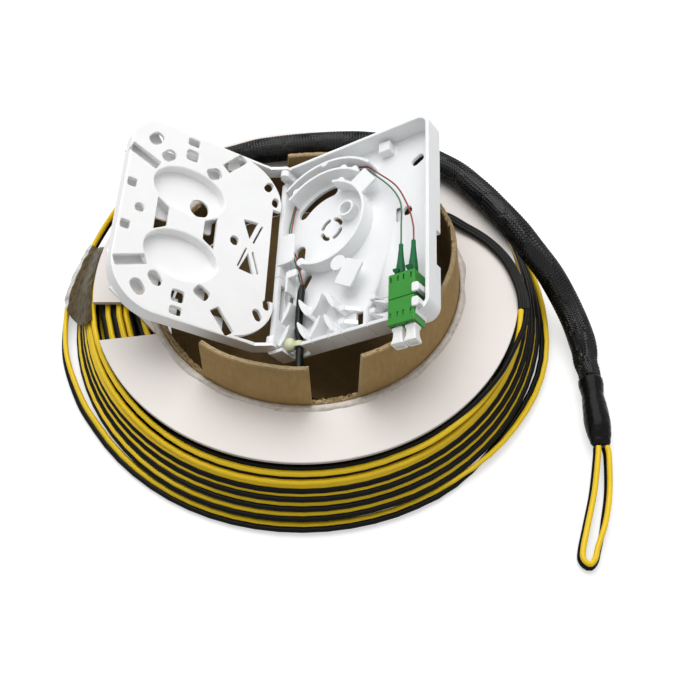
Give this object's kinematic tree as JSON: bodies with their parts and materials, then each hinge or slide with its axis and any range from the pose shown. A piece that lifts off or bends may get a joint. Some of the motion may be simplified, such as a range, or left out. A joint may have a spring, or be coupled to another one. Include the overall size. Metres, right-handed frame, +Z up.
{
  "type": "fibre termination outlet on cable reel",
  "caption": "Hinged fibre wall outlet with duplex adapter and splice tray, opened on the board reel that holds its twin cable and pulling sleeve.",
  "frame": {"origin": "on the reel's axis, on the surface that the reel stands on", "axes": "+Z up along the reel's axis, +X to the right and +Y away from the pictured view"},
  "size_m": [0.2608, 0.2497, 0.0858],
  "materials": {
    "abs_white": "satin moulded",
    "tray_white": "satin moulded",
    "adapter_green": "fine satin",
    "connector_green": "satin",
    "boot_green": "matt",
    "plug_white": "satin",
    "ceramic": "polished",
    "fibre_red": "satin",
    "fibre_green": "satin",
    "sleeve_black": "satin",
    "nylon": "satin",
    "kraft_board": "bare board",
    "white_board": "coated board",
    "cable_yellow": "satin",
    "cable_black": "satin",
    "coil_black": "satin",
    "braid_black": "braided",
    "shrink_black": "glossy",
    "tape": "clear brown"
  },
  "bodies": {
    "outlet_and_reel": {"outlet_base": "abs_white", "adapter_front": "adapter_green", "adapter_rear": "adapter_green", "alignment_sleeve_1": "ceramic", "alignment_sleeve_2": "ceramic", "ferrule_1": "ceramic", "ferrule_2": "ceramic", "connector_1": "connector_green", "connector_2": "connector_green", "boot_1": "boot_green", "boot_2": "boot_green", "fibre_red": "fibre_red", "fibre_green": "fibre_green", "inlet_sleeve": "sleeve_black", "cable_tie": "nylon", "reel_core": "kraft_board", "core_floor": "kraft_board", "reel_lower_flange": "white_board", "reel_upper_flange": "white_board", "coil_inner_turns": "coil_black", "cable_coil_yellow": "cable_yellow", "cable_coil_black": "cable_black", "cable_lead_yellow": "cable_yellow", "cable_lead_black": "cable_black", "cable_tail_yellow": "cable_yellow", "cable_tail_black": "cable_black", "lead_sleeve": "sleeve_black", "pull_sleeve": "braid_black", "sleeve_heat_shrink": "shrink_black", "pull_loop_yellow": "cable_yellow", "pull_loop_black": "cable_black", "coil_tape": "tape"},
    "tray": {"splice_tray": "tray_white"},
    "plug_1": {"dust_plug_1": "plug_white"},
    "plug_2": {"dust_plug_2": "plug_white"}
  },
  "joints": [
    {"name": "tray_hinge", "type": "hinge", "parent": "outlet_and_reel", "child": "tray", "pos_m": [-0.01309, 0.00738, 0.03738], "axis": [0.0416, 0.9917, 0.1219], "range_deg": [0, 114.5]},
    {"name": "plug_1_slide", "type": "slide", "parent": "outlet_and_reel", "child": "plug_1", "axis": [-0.0416, -0.9917, -0.1219], "range_m": [0, 0.012]},
    {"name": "plug_2_slide", "type": "slide", "parent": "outlet_and_reel", "child": "plug_2", "axis": [-0.0416, -0.9917, -0.1219], "range_m": [0, 0.012]}
  ]
}
